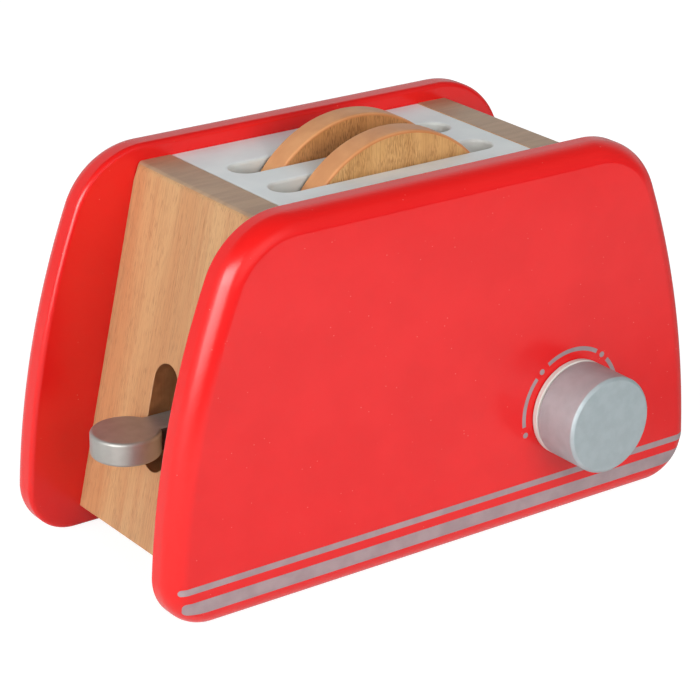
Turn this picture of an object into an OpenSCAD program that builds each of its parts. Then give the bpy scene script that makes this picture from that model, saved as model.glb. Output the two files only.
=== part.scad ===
// Wooden toy toaster: two painted side panels, leaning beech end boards, a white slotted top,
// a spring-held lift worked by a side lever, two wooden bread slices and a turning browning knob.
// X runs along the toaster with the lever at -X, the knob is on the -Y panel, and Z is up from the table.

/* [Side panels] */
// Length of a panel along the table, between its unrounded foot corners
base_len = 190; // [180:1:205]
// Length of a panel along its top, between its unrounded shoulder corners
top_len = 139; // [130:0.2:150]
// Height of a panel
height = 113.8; // [110:0.2:125]
// How far each end of a panel bows outwards
side_bulge = 6.6; // [4:0.2:8]
// Radius of the foot corners
foot_r = 14.7; // [10:0.1:18]
// Radius of the shoulder corners
shoulder_r = 25.2; // [20:0.2:30]
// Thickness of a panel
panel_t = 10.8; // [9.6:0.2:12]
// Round-over of a panel's edges on its outer face
edge_r = 5.7; // [3:0.1:6.5]
// Round-over of a panel's edges on its inner face
inner_edge_r = 1.5; // [0.5:0.1:2.5]
// Width of the body between the two panels
inner_w = 64.8; // [58:0.2:76]

/* [Body boards] */
// Length of the body between the outer faces of the end boards, at their feet
foot_len = 156.8; // [150:0.2:164]
// Thickness of an end board
board_t = 11.5; // [9:0.5:14]
// Lean of the end boards from upright, in degrees
board_lean = 12.2; // [10:0.2:13]
// Height of the end boards' lower edge above the table
board_lift = 6.7; // [4:0.1:10]
// Round-over of an end board's upper outer edge
board_edge_r = 1.8; // [0.5:0.1:4]
// How far the boards and the top plate lie below the panels' tops
top_drop = 4.9; // [3:0.1:8]
// Thickness of the slotted top plate
plate_t = 12; // [10:0.5:14]
// Thickness of the base board
base_t = 12; // [10:0.5:14]

/* [Bread slices] */
// Thickness of a slice
slice_t = 8.2; // [7:0.2:10]
// Width of a slice
slice_w = 66.4; // [60:0.2:70]
// How far a slice stands out of the top plate
slice_show = 10.5; // [6:0.1:20]
// Height of a slice's arched crown above its shoulders
crown_rise = 20.5; // [16:0.1:26]
// Radius of a slice's lower corners
heel_r = 5; // [3:0.5:10]
// Round-over of a slice's rim
rim_r = 1.2; // [0.5:0.1:2]
// Distance between the two slots
slot_pitch = 20; // [18:0.5:24]
// Offset of both slots from the toaster's middle, away from the knob
slot_shift = 0.4; // [0:0.1:0.8]
// Offset of the slices from the middle of their slots, towards the knob
slice_shift = 2.4; // [0:0.1:3]
// Gap between a slice and the near wall of its slot
slice_gap = 0.3; // [0.3:0.1:0.6]

/* [Slots in the top plate] */
// How much wider a slot is than a slice
slot_side_play = 1.2; // [1.2:0.1:3]
// How much longer a slot is than a slice
slot_end_play = 10.4; // [10:0.2:14]
// Round-over of the slots' upper edges
slot_edge_r = 0.8; // [0.3:0.1:1.5]

/* [Lever] */
// Height of the lever's underside above the table, at rest
lever_z = 36.6; // [33:0.1:42]
// Thickness of the lever
lever_t = 7.2; // [6:0.2:9]
// Radius of the lever's round thumb pad
pad_r = 10.1; // [8:0.1:11]
// Gap between the pad and the end board beside the slot, with the lever pressed down
pad_gap = 0.4; // [0.3:0.1:4]
// Width of the lever's neck, where it passes through the end board
neck_w = 10; // [8:0.2:12]
// Round-over of the lever's edges
lever_edge_r = 1; // [0.5:0.1:2]
// Width of the lever's inner beam, under the tray
beam_w = 18; // [16:0.5:24]
// Gap between the inner beam and the end board at the top of the travel
beam_board_gap = 2.5; // [1.5:0.1:4]
// Side clearance of the neck in its slot
neck_gap = 1; // [0.6:0.1:2]
// Clearance above and below the neck at the ends of its travel
neck_end_gap = 2.7; // [2.2:0.1:4]
// Travel of the lever below its rest
travel_down = 5; // [3:0.5:7]
// Travel of the lever above its rest
travel_up = 11; // [6:0.5:13]

/* [Lift] */
// Thickness of the tray that carries the slices
tray_t = 10; // [8:0.5:12]
// Depth of the tray's slice pockets
pocket_depth = 4; // [2:0.5:5]
// Side clearance of a slice in its pocket
pocket_gap = 0.35; // [0.3:0.05:0.8]
// Wall of the tray around its pockets
tray_wall = 4.5; // [3:0.5:7]
// Radius of the tray's corners
tray_corner_r = 4; // [1:0.5:6]
// Radius of a guide rod
rod_r = 3; // [2.5:0.1:3.2]
// Distance between the two guide rods
rod_pitch = 52; // [44:1:54]
// Depth of a guide rod's end in the base board and in the top plate
rod_seat = 7; // [4:0.5:8]
// Radial running clearance of the wooden rods and axle in their bores
run_gap = 0.08; // [0.05:0.01:0.1]
// Radial clearance of the lever's beam around a guide rod
rod_room = 0.5; // [0.4:0.1:1]
// Thickness of a return spring's wire
spring_wire = 1.1; // [0.8:0.1:1.4]
// Radial gap between a return spring and its guide rod
spring_gap = 0.4; // [0.3:0.1:0.8]
// Distance between the two wood screws that hold the tray on the lever
screw_pitch = 22; // [16:1:28]
// Radius of a wood screw's shank
screw_r = 1.6; // [1.2:0.1:2]
// Radius of a wood screw's countersunk head
screw_head_r = 3.2; // [2.6:0.1:4]
// Depth of a wood screw in the tray
screw_bite = 5.5; // [4:0.5:6.5]
// Width of the cross slot in a screw's head
screw_slot_w = 0.6; // [0.4:0.1:0.8]
// Length of the cross slot in a screw's head
screw_slot_len = 3.8; // [2.6:0.2:4.4]
// Depth of the cross slot in a screw's head
screw_slot_depth = 0.8; // [0.4:0.1:1.2]

/* [Knob] */
// Distance of the knob's axis from the middle of the toaster
knob_x = 45.2; // [42:0.2:50]
// Height of the knob's axis above the table
knob_z = 35; // [30:0.2:44]
// Radius of the knob
knob_r = 14.8; // [12:0.2:17]
// Length of the knob
knob_len = 15.8; // [13:0.2:22]
// Bevel of the knob's edges
knob_bevel = 0.8; // [0.3:0.1:2]
// Thickness of the white disc behind the knob
disc_t = 1.8; // [1.2:0.1:3]
// Gap between the white disc and the panel, and between the panel and the retainer
turn_gap = 0.3; // [0.2:0.05:0.6]
// Radius of the knob's axle
axle_r = 4; // [3:0.1:5]
// Depth of the axle in the knob
axle_seat = 10; // [6:0.5:11]
// Radius of the retainer inside the panel
retainer_r = 8; // [7:0.2:9]
// Thickness of the retainer
retainer_t = 4; // [3.6:0.2:5]
// Depth of the axle in the retainer
retainer_seat = 3; // [2:0.2:3.4]

/* [Dowels] */
// Radius of a dowel
dowel_r = 3; // [2:0.1:3.4]
// Depth of a dowel in a panel
dowel_panel_seat = 6; // [4:0.2:6.4]
// Depth of a dowel in a board
dowel_board_seat = 12; // [8:0.5:13]
// Radial glue gap around the ends of the dowels, rods and axle
glue_gap = 0.05; // [0.03:0.01:0.08]
// Distance between the dowels of the top plate and between those of the base board
dowel_pitch = 60; // [40:1:66]
// Height of an end board's lower dowels above its lower edge
low_dowel_rise = 14; // [8:1:24]
// Depth of an end board's upper dowels below its top
high_dowel_drop = 22; // [14:1:34]

/* [Hidden] */

// How far a cutting shape runs past the face that it cuts
past = 1;
// Fineness of ordinary round edges, and of the facets of the softly rounded slabs
round_fn = 96;
soft_fn = 64;
rim_fn = 28;
side_fn = 240;

panel_red = "#d8282a";
beech = "#dcb081";
crust = "#d69b66";
paint_white = "#f2f2ee";
paint_silver = "#b9b6b4";
steel = "#9fa3a8";

// The bowed end of a panel is an arc through its two unrounded corners.
side_chord = norm([(base_len - top_len) / 2, height]);
side_r = (side_chord * side_chord / 4 + side_bulge * side_bulge) / (2 * side_bulge);
side_out = [height, (base_len - top_len) / 2] / side_chord;
side_c = [(base_len + top_len) / 4, height / 2] - side_out * (side_r - side_bulge);
foot_c = corner_centre(foot_r, foot_r);
shoulder_c = corner_centre(shoulder_r, height - shoulder_r);
foot_angle = angle_from(side_c, foot_c);
shoulder_angle = angle_from(side_c, shoulder_c);

top_z = height - top_drop;
plate_z = top_z - plate_t;
board_run = board_t / cos(board_lean);
tray_z = lever_z + lever_t;
slice_z = tray_z + tray_t - pocket_depth;
slice_h = top_z + slice_show - slice_z;
slot_w = slice_t + slot_side_play;
slot_len = slice_w + slot_end_play;
// The slices stand a little in front of the middle of their slots.
slice_set = slot_side_play / 2 - slice_gap;
slice_y = slot_shift - slice_set;
pocket_w = slice_t + 2 * pocket_gap;
pocket_len = slice_w + 2 * pocket_gap;
tray_len = pocket_len + 2 * tray_wall;
tray_w = slot_pitch + pocket_w + 2 * (tray_wall - slice_set);
lever_slot_r = neck_w / 2 + neck_gap;
pad_x = outer_x(lever_z - travel_down) + pad_gap + sqrt(pow(pad_r, 2) - pow(lever_slot_r, 2));
beam_from = inner_x(lever_z + lever_t + travel_up) - beam_board_gap;
beam_to = slice_shift + rod_pitch / 2 + beam_w / 2;
spring_in_r = rod_r + spring_gap;
spring_out_r = spring_in_r + spring_wire;
rod_z = base_t - rod_seat;
rod_len = plate_z + rod_seat - rod_z;
panel_y = inner_w / 2;
disc_y = panel_y + panel_t + turn_gap;
knob_y = disc_y + disc_t;
retainer_y = panel_y - turn_gap - retainer_t;
axle_len = knob_y + axle_seat - (retainer_y + retainer_t - retainer_seat);
// Dowel places along a panel: [x, z] in the end boards, the base board and the top plate.
board_dowel_z = [board_lift + low_dowel_rise, top_z - high_dowel_drop];
dowel_places = [
    for (side = [-1, 1]) each [
        for (z = board_dowel_z) [side * (outer_x(z) - board_run / 2), z],
        [side * dowel_pitch / 2, base_t / 2],
        [side * dowel_pitch / 2, plate_z + plate_t / 2]
    ]
];

// Centre of a panel's corner arc of radius r that lies at height z.
function corner_centre(r, z) = [side_c[0] + sqrt(pow(side_r - r, 2) - pow(z - side_c[1], 2)), z];
function angle_from(c, p) = atan2(p[1] - c[1], p[0] - c[0]);
// Half-length of the body at height z, to the outer and to the inner faces of the end boards.
function outer_x(z) = foot_len / 2 - (z - board_lift) * tan(board_lean);
function inner_x(z) = outer_x(z) - board_run;
function unit(v) = v / norm(v);
function half_angle(p, a, b) = acos(unit(a - p) * unit(b - p)) / 2;

// A convex outline whose corners are rounded, each with its own radius.
module rounded(points, radii) {
    count = len(points);
    function before(i) = points[(i + count - 1) % count];
    function after(i) = points[(i + 1) % count];
    function touch(p, q, r, half) = p + unit(q - p) * r / tan(half);
    function centre(p, a, b, r) = p + unit(unit(a - p) + unit(b - p)) * r / sin(half_angle(p, a, b));
    polygon([
        for (i = [0 : count - 1])
            let (p = points[i], half = half_angle(p, before(i), after(i)))
                each radii[i] > 0
                    ? [touch(p, before(i), radii[i], half), touch(p, after(i), radii[i], half)]
                    : [p]
    ]);
    for (i = [0 : count - 1])
        if (radii[i] > 0)
            translate(centre(points[i], before(i), after(i), radii[i]))
                circle(radii[i], $fn = round_fn);
}

// Draws its children, given as (x, z) outlines, as a slab from y1 up to y2.
module slab(y1, y2) {
    translate([0, y2, 0]) rotate([90, 0, 0]) linear_extrude(y2 - y1) children();
}

// A quarter of a disc, on the positive side of both axes.
module quarter_disc(r) {
    intersection() {
        circle(r, $fn = rim_fn);
        square(r);
    }
}

// The edge of a slab of thickness t, along an arc of radius r about c, rounded with one radius
// at the lower face and another at the upper face.
module soft_edge(c, r, from, to, low, high, t, fn) {
    translate(c) rotate([0, 0, from]) rotate_extrude(angle = to - from, $fn = fn) {
        translate([r - low, low]) mirror([0, 1]) quarter_disc(low);
        translate([r - high, t - high]) quarter_disc(high);
    }
}

// A round-ended slot of length l and width w along X, cut downwards from z = 0 through depth d,
// with its upper edge rounded over.
module slot_cut(l, w, d, edge) {
    reach = l / 2 - w / 2;
    module side() {
        difference() {
            translate([0, -d - past]) square([w / 2 + edge, d + 2 * past]);
            translate([w / 2, -d - 2 * past]) square([edge + past, d + 2 * past - edge]);
            translate([w / 2 + edge, -edge]) circle(edge, $fn = round_fn);
        }
    }
    for (x = [-reach, reach]) translate([x, 0, 0]) rotate_extrude($fn = round_fn) side();
    for (turn = [90, -90]) rotate([90, 0, turn]) translate([0, 0, -reach])
        linear_extrude(2 * reach) side();
}

// The end of a panel along one arc, with the panel lying flat and its outer face up.
module panel_edge(c, r, from, to, fn) {
    soft_edge(c, r, from, to, inner_edge_r, edge_r, panel_t, fn);
}

// The front panel before it is bored.
module panel_blank() {
    translate([0, -panel_y, 0]) rotate([90, 0, 0]) hull()
        for (s = [0, 1]) mirror([s, 0, 0]) {
            panel_edge(foot_c, foot_r, -90, foot_angle, soft_fn);
            panel_edge(side_c, side_r, foot_angle, shoulder_angle, side_fn);
            panel_edge(shoulder_c, shoulder_r, shoulder_angle, 90, soft_fn);
        }
}

// Blind dowel bores in the inner face of the panel on the given side.
module panel_dowel_bores(side) {
    for (p = dowel_places)
        translate([p[0], side * (panel_y - past), p[1]]) rotate([-90 * side, 0, 0])
            cylinder(r = dowel_r + glue_gap, h = dowel_panel_seat + past, $fn = round_fn);
}

// Blind dowel bores in the boards' edges, on both sides of the body.
module board_dowel_bores() {
    for (p = dowel_places, side = [-1, 1])
        translate([p[0], side * (panel_y - dowel_board_seat), p[1]]) rotate([-90 * side, 0, 0])
            cylinder(r = dowel_r + glue_gap, h = dowel_board_seat + past, $fn = round_fn);
}

module dowel_row(side) {
    for (p = dowel_places)
        translate([p[0], side * (panel_y - dowel_board_seat), p[1]]) rotate([-90 * side, 0, 0])
            cylinder(r = dowel_r, h = dowel_board_seat + dowel_panel_seat, $fn = round_fn);
}

// Places its children at both guide rods.
module at_rods() {
    for (side = [-1, 1]) translate([slice_shift + side * rod_pitch / 2, 0, 0]) children();
}

module front_panel() {
    color(panel_red) difference() {
        panel_blank();
        panel_dowel_bores(-1);
        translate([knob_x, -panel_y + past, knob_z]) rotate([90, 0, 0])
            cylinder(r = axle_r + run_gap, h = panel_t + 2 * past, $fn = round_fn);
    }
}

module back_panel() {
    color(panel_red) difference() {
        mirror([0, 1, 0]) panel_blank();
        panel_dowel_bores(1);
    }
}

// An end board at the -X end.
module end_board() {
    slab(-panel_y, panel_y) rounded(
        [
            [-outer_x(board_lift), board_lift], [-inner_x(board_lift), board_lift],
            [-inner_x(top_z), top_z], [-outer_x(top_z), top_z]
        ],
        [0, 0, 0, board_edge_r]
    );
}

// The lever's slot is milled square to the leaning board.
module lever_slot() {
    low = (lever_z - travel_down - neck_end_gap - board_lift) / cos(board_lean);
    high = (lever_z + lever_t + travel_up + neck_end_gap - board_lift + board_t * sin(board_lean))
        / cos(board_lean);
    translate([-foot_len / 2, 0, board_lift]) rotate([0, board_lean, 0]) {
        for (s = [low + lever_slot_r, high - lever_slot_r]) translate([-past, 0, s]) rotate([0, 90, 0])
            cylinder(r = lever_slot_r, h = board_t + 2 * past, $fn = round_fn);
        translate([-past, -lever_slot_r, low + lever_slot_r])
            cube([board_t + 2 * past, 2 * lever_slot_r, high - low - 2 * lever_slot_r]);
    }
}

module left_end_board() {
    color(beech) difference() {
        end_board();
        board_dowel_bores();
        lever_slot();
    }
}

module right_end_board() {
    color(beech) difference() {
        mirror([1, 0, 0]) end_board();
        board_dowel_bores();
    }
}

module top_plate() {
    color(paint_white) difference() {
        slab(-panel_y, panel_y) polygon([
            [-inner_x(plate_z), plate_z], [inner_x(plate_z), plate_z],
            [inner_x(top_z), top_z], [-inner_x(top_z), top_z]
        ]);
        for (side = [-1, 1]) translate([0, side * slot_pitch / 2 + slot_shift, top_z])
            slot_cut(slot_len, slot_w, plate_t, slot_edge_r);
        at_rods() translate([0, 0, plate_z - past])
            cylinder(r = rod_r + glue_gap, h = rod_seat + past, $fn = round_fn);
        board_dowel_bores();
    }
}

module base_board() {
    color(beech) difference() {
        slab(-panel_y, panel_y) polygon([
            [-inner_x(0), 0], [inner_x(0), 0], [inner_x(base_t), base_t], [-inner_x(base_t), base_t]
        ]);
        at_rods() translate([0, 0, rod_z])
            cylinder(r = rod_r + glue_gap, h = rod_seat + past, $fn = round_fn);
        board_dowel_bores();
    }
}

module front_dowels() { color(beech) dowel_row(-1); }
module back_dowels() { color(beech) dowel_row(1); }

module guide_rod(side) {
    color(beech) translate([slice_shift + side * rod_pitch / 2, 0, rod_z])
        cylinder(r = rod_r, h = rod_len, $fn = round_fn);
}
module guide_rod_left() { guide_rod(-1); }
module guide_rod_right() { guide_rod(1); }

// A return spring fills the sleeve around its rod, from the base board up to the lever's beam.
module return_spring(side) {
    color(steel) translate([slice_shift + side * rod_pitch / 2, 0, base_t]) difference() {
        cylinder(r = spring_out_r, h = lever_z - base_t, $fn = round_fn);
        translate([0, 0, -past])
            cylinder(r = spring_in_r, h = lever_z - base_t + 2 * past, $fn = round_fn);
    }
}
module return_spring_left() { return_spring(-1); }
module return_spring_right() { return_spring(1); }

// A bar of the lever that is w wide, with rounded long edges.
module lever_bar(w, from, to) {
    translate([from, 0, lever_z]) rotate([90, 0, 90]) linear_extrude(to - from)
        rounded(
            [[-w / 2, 0], [w / 2, 0], [w / 2, lever_t], [-w / 2, lever_t]],
            [lever_edge_r, lever_edge_r, lever_edge_r, lever_edge_r]
        );
}

module screw_places() {
    for (side = [-1, 1]) translate([slice_shift + side * screw_pitch / 2, 0, 0]) children();
}

// The solid of a countersunk wood screw, head down, from the lever's underside up into the tray.
module screw_body() {
    head = screw_head_r - screw_r;
    translate([0, 0, lever_z]) {
        cylinder(r1 = screw_head_r, r2 = screw_r, h = head, $fn = round_fn);
        cylinder(r = screw_r, h = lever_t + screw_bite, $fn = round_fn);
    }
}

module lever() {
    color(paint_silver) difference() {
        union() {
            translate([-pad_x, 0, lever_z]) rotate_extrude($fn = round_fn)
                rounded(
                    [[0, 0], [pad_r, 0], [pad_r, lever_t], [0, lever_t]],
                    [0, lever_edge_r, lever_edge_r, 0]
                );
            lever_bar(neck_w, -pad_x, -beam_from + beam_w / 2);
            lever_bar(beam_w, -beam_from, beam_to);
        }
        at_rods() translate([0, 0, lever_z - past])
            cylinder(r = rod_r + rod_room, h = lever_t + 2 * past, $fn = round_fn);
        screw_places() screw_body();
    }
}

module lift_tray() {
    color(beech) difference() {
        translate([slice_shift, 0, tray_z]) linear_extrude(tray_t)
            rounded(
                [
                    [-tray_len / 2, -tray_w / 2], [tray_len / 2, -tray_w / 2],
                    [tray_len / 2, tray_w / 2], [-tray_len / 2, tray_w / 2]
                ],
                [tray_corner_r, tray_corner_r, tray_corner_r, tray_corner_r]
            );
        for (side = [-1, 1])
            translate([
                slice_shift - pocket_len / 2, side * slot_pitch / 2 + slice_y - pocket_w / 2, slice_z
            ])
                cube([pocket_len, pocket_w, pocket_depth + past]);
        at_rods() translate([0, 0, tray_z - past])
            cylinder(r = rod_r + run_gap, h = tray_t + 2 * past, $fn = round_fn);
        screw_places() screw_body();
    }
}

module lever_screws() {
    color(steel) screw_places() difference() {
        screw_body();
        for (turn = [0, 90]) rotate([0, 0, turn])
            translate([-screw_slot_len / 2, -screw_slot_w / 2, lever_z - past])
                cube([screw_slot_len, screw_slot_w, past + screw_slot_depth]);
    }
}

// The rim of a slice along one arc.
module slice_edge(c, r, from, to, fn) {
    soft_edge(c, r, from, to, rim_r, rim_r, slice_t, fn);
}

// A bread slice with an arched crown, standing on the floor of its pocket in the tray.
module toast(side) {
    rim_reach = slice_w / 2 - rim_r;
    rim_arc_r = (rim_reach * rim_reach + crown_rise * crown_rise) / (2 * crown_rise);
    crown_r = rim_arc_r + rim_r;
    crown_c = [0, slice_h - crown_r];
    crown_half = asin(rim_reach / rim_arc_r);
    heel_c = [slice_w / 2 - heel_r, heel_r];
    color(crust)
        translate([slice_shift, side * slot_pitch / 2 + slice_y + slice_t / 2, slice_z])
            rotate([90, 0, 0]) hull() {
                slice_edge(crown_c, crown_r, 90 - crown_half, 90 + crown_half, round_fn);
                for (s = [0, 1]) mirror([s, 0, 0])
                    slice_edge(heel_c, heel_r, -90, 0, soft_fn);
            }
}
module toast_front() { toast(-1); }
module toast_back() { toast(1); }

// Turned parts of the knob lie on one axis, at a distance y in front of the toaster's middle.
module on_knob_axis(y) {
    translate([knob_x, -y, knob_z]) rotate([90, 0, 0]) children();
}

module knob() {
    color(paint_silver) on_knob_axis(knob_y) difference() {
        rotate_extrude($fn = round_fn) polygon([
            [0, 0], [knob_r - knob_bevel, 0], [knob_r, knob_bevel],
            [knob_r, knob_len - knob_bevel], [knob_r - knob_bevel, knob_len], [0, knob_len]
        ]);
        translate([0, 0, -past]) cylinder(r = axle_r + glue_gap, h = axle_seat + past, $fn = round_fn);
    }
}

module knob_disc() {
    color(paint_white) on_knob_axis(disc_y) difference() {
        cylinder(r = knob_r, h = disc_t, $fn = round_fn);
        translate([0, 0, -past]) cylinder(r = axle_r + glue_gap, h = disc_t + 2 * past, $fn = round_fn);
    }
}

module knob_axle() {
    color(beech) on_knob_axis(retainer_y + retainer_t - retainer_seat)
        cylinder(r = axle_r, h = axle_len, $fn = round_fn);
}

module knob_retainer() {
    color(beech) on_knob_axis(retainer_y) difference() {
        cylinder(r = retainer_r, h = retainer_t, $fn = round_fn);
        translate([0, 0, retainer_t - retainer_seat])
            cylinder(r = axle_r + glue_gap, h = retainer_seat + past, $fn = round_fn);
    }
}

front_panel();
back_panel();
left_end_board();
right_end_board();
top_plate();
base_board();
front_dowels();
back_dowels();
guide_rod_left();
guide_rod_right();
return_spring_left();
return_spring_right();
lever();
lift_tray();
lever_screws();
toast_front();
toast_back();
knob();
knob_disc();
knob_axle();
knob_retainer();
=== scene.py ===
"""Looks of a wooden toy toaster: painted side panels, beech body, slices, spring-held lever and knob."""

import logging
import math
from dataclasses import dataclass
from enum import Enum
from typing import Callable, Iterable, Mapping, Sequence

import bmesh
import bpy
from mathutils import Matrix, Vector


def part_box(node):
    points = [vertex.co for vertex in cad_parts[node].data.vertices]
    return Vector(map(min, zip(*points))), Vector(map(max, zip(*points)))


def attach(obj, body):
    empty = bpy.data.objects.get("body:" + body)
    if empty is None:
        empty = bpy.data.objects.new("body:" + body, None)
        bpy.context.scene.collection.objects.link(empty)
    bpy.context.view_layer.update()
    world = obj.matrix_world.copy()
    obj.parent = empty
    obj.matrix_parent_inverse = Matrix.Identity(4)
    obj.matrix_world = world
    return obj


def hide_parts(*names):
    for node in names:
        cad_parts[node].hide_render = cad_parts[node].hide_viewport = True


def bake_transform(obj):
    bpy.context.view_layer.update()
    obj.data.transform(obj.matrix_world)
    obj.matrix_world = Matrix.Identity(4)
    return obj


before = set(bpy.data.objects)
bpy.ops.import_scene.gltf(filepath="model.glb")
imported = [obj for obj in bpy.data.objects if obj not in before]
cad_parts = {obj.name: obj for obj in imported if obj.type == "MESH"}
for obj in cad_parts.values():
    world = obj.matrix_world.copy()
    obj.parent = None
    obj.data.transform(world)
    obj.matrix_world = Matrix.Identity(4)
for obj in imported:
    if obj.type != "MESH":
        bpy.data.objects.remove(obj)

LOG = logging.getLogger("toaster")
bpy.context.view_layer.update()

# All sizes in this file are millimetres; a mesh is turned into metres when it is made.
MM = 0.001
# Edges sharper than this are creases, and flat faces keep their shading up to their rounded edges.
CREASE = math.radians(38.0)
FLAT_FACE_WEIGHT = 90
# Points of a node group's result that lie closer than this are one.
WELD = 0.001
# Lean of the end boards, and the distance between the two slots' middles.
LEAN = math.radians(12.2)
SLOT_PITCH = 20.0

Point2 = tuple[float, float]
Point3 = tuple[float, float, float]
Colour = tuple[float, float, float, float]


class Slot(Enum):
    """The material slots of the record."""

    PANEL = "panel_paint"
    BEECH = "beech"
    TOP = "top_paint"
    SILVER = "silver_paint"
    DISC = "disc_paint"
    BREAD = "bread"
    DOWEL = "dowel_wood"
    STEEL = "spring_steel"


class Body(Enum):
    """The bodies on which pieces ride."""

    HOUSING = "housing"
    LIFT = "lift"
    SLICE_FRONT = "slice_front"
    SLICE_BACK = "slice_back"
    KNOB = "knob"


def srgb(red: float, green: float, blue: float) -> Colour:
    """Gives the linear colour of three display values from 0 to 255."""

    def linear(value: float) -> float:
        """Gives the linear share of one display value."""
        share = value / 255
        return share / 12.92 if share <= 0.04045 else ((share + 0.055) / 1.055) ** 2.4

    return (linear(red), linear(green), linear(blue), 1.0)


# ---- node trees


class Val:
    """One output of a node, on which arithmetic adds Math nodes."""

    def __init__(self, tree: "Tree", socket: bpy.types.NodeSocket) -> None:
        """Wraps a socket of a tree."""
        self.tree = tree
        self.socket = socket

    def _math(self, operation: str, first: "Val | float", second: "Val | float") -> "Val":
        """Adds one Math node."""
        return self.tree.node("ShaderNodeMath", {"operation": operation}, {0: first, 1: second})

    def __add__(self, other: "Val | float") -> "Val":
        """Gives self + other."""
        return self._math("ADD", self, other)

    def __radd__(self, other: float) -> "Val":
        """Gives other + self."""
        return self._math("ADD", other, self)

    def __sub__(self, other: "Val | float") -> "Val":
        """Gives self - other."""
        return self._math("SUBTRACT", self, other)

    def __rsub__(self, other: float) -> "Val":
        """Gives other - self."""
        return self._math("SUBTRACT", other, self)

    def __mul__(self, other: "Val | float") -> "Val":
        """Gives self * other."""
        return self._math("MULTIPLY", self, other)

    def above(self, low: float, high: float) -> "Val":
        """Gives a soft step that rises from 0 at low to 1 at high, or falls where high is the lower."""
        ends = {3: 1.0, 4: 0.0} if high < low else {3: 0.0, 4: 1.0}
        return self.tree.node(
            "ShaderNodeMapRange",
            {"interpolation_type": "SMOOTHSTEP"},
            {0: self, 1: min(low, high), 2: max(low, high), **ends},
        )


class Tree:
    """A node tree to which nodes are added one by one."""

    tree: bpy.types.NodeTree

    def node(
        self,
        kind: str,
        settings: Mapping[str, object] | None = None,
        inputs: Mapping[int | str, object] | None = None,
        output: int = 0,
    ) -> Val:
        """Adds a node.

        Args:
            kind: The node's type.
            settings: Its properties.
            inputs: Values or links of its sockets, by name or number.
            output: The number of the output that is wanted.

        Returns:
            That output.
        """
        node = self.tree.nodes.new(kind)
        for key, value in (settings or {}).items():
            setattr(node, key, value)
        for key, value in (inputs or {}).items():
            if isinstance(value, Val):
                self.tree.links.new(value.socket, node.inputs[key])
            else:
                node.inputs[key].default_value = value
        return Val(self, node.outputs[output])

    def end(self, result: Val, kind: str) -> None:
        """Ends the tree: links a result to a new output node of that type."""
        self.tree.links.new(result.socket, self.tree.nodes.new(kind).inputs[0])


class Graph(Tree):
    """Builds the shader tree of one material, or of a world."""

    def __init__(self, name: str, owner: bpy.types.World | None = None) -> None:
        """Starts an empty material of that name, or the tree of a world."""
        self.owner = owner or bpy.data.materials.new(name)
        self.owner.use_nodes = True
        self.tree = self.owner.node_tree
        self.tree.nodes.clear()

    def place(self, cell: float | Point3, tilt: float = 0.0) -> Val:
        """Gives the piece's own coordinates, counted in pattern cells.

        Args:
            cell: Size of a cell in millimetres, one for all axes or one for each.
            tilt: Turn about Y in radians, done first.

        Returns:
            The coordinates.
        """
        here = self.node("ShaderNodeTexCoord", output=3)
        if tilt:
            here = self.node("ShaderNodeMapping", None, {"Vector": here, "Rotation": (0.0, tilt, 0.0)})
        sizes = cell if isinstance(cell, tuple) else (cell, cell, cell)
        stretch = [1 / (size * MM) for size in sizes]
        return self.node("ShaderNodeMapping", None, {"Vector": here, "Scale": stretch})

    def noise(
        self,
        cell: float | Point3,
        detail: float = 2.0,
        rough: float = 0.5,
        warp: float = 0.0,
        tilt: float = 0.0,
    ) -> Val:
        """Gives cloudy noise whose cells have that size in millimetres."""
        where = self.place(cell, tilt)
        return self.node(
            "ShaderNodeTexNoise",
            None,
            {"Vector": where, "Scale": 1.0, "Detail": detail, "Roughness": rough, "Distortion": warp},
        )

    def cells(self, cell: float) -> Val:
        """Gives the distance to scattered points that lie that many millimetres apart."""
        return self.node("ShaderNodeTexVoronoi", None, {"Vector": self.place(cell), "Scale": 1.0})

    def axes(self) -> list[Val]:
        """Gives X, Y and Z in the piece's own coordinates, or of a direction in a world."""
        place = self.node("ShaderNodeTexCoord", output=3)
        return [self.node("ShaderNodeSeparateXYZ", None, {0: place}, output=axis) for axis in range(3)]

    def clouds(
        self, cell: float, shade: Colour, colour: Colour, span: Point2 = (0.3, 0.7)
    ) -> Val:
        """Gives a colour that drifts between two colours in clouds of that size in millimetres."""
        return self.mix(self.noise(cell, 3.0).above(*span), shade, colour)

    def mix(self, share: "Val | float", first: "Val | Colour", second: "Val | Colour") -> Val:
        """Gives a colour between two colours."""
        return self.node(
            "ShaderNodeMix", {"data_type": "RGBA"}, {0: share, 6: first, 7: second}, output=2
        )

    def blend(self, share: Val, first: Val, second: Val) -> Val:
        """Gives a shader between two shaders."""
        return self.node("ShaderNodeMixShader", None, {0: share, 1: first, 2: second})

    def wall_mark(self) -> Val:
        """Gives the mesh attribute that is 0 on a slab's faces and 1 on its walls."""
        return self.node("ShaderNodeAttribute", {"attribute_name": "edge"}, output=2)

    def surface(
        self, colour: Val, roughness: Val, height: Val, relief: float, **others: float
    ) -> bpy.types.Material:
        """Ends the tree in a Principled shader.

        Args:
            colour: Its base colour.
            roughness: Its roughness.
            height: Its relief, from 0 to 1.
            relief: How deep a height of 1 is, in millimetres.
            others: Further inputs by name.

        Returns:
            The material.
        """
        normal = self.node("ShaderNodeBump", None, {"Height": height, "Distance": relief * MM})
        inputs = {"Base Color": colour, "Roughness": roughness, "Normal": normal, **others}
        self.end(self.node("ShaderNodeBsdfPrincipled", None, inputs), "ShaderNodeOutputMaterial")
        return self.owner


# ---- finishes


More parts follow.
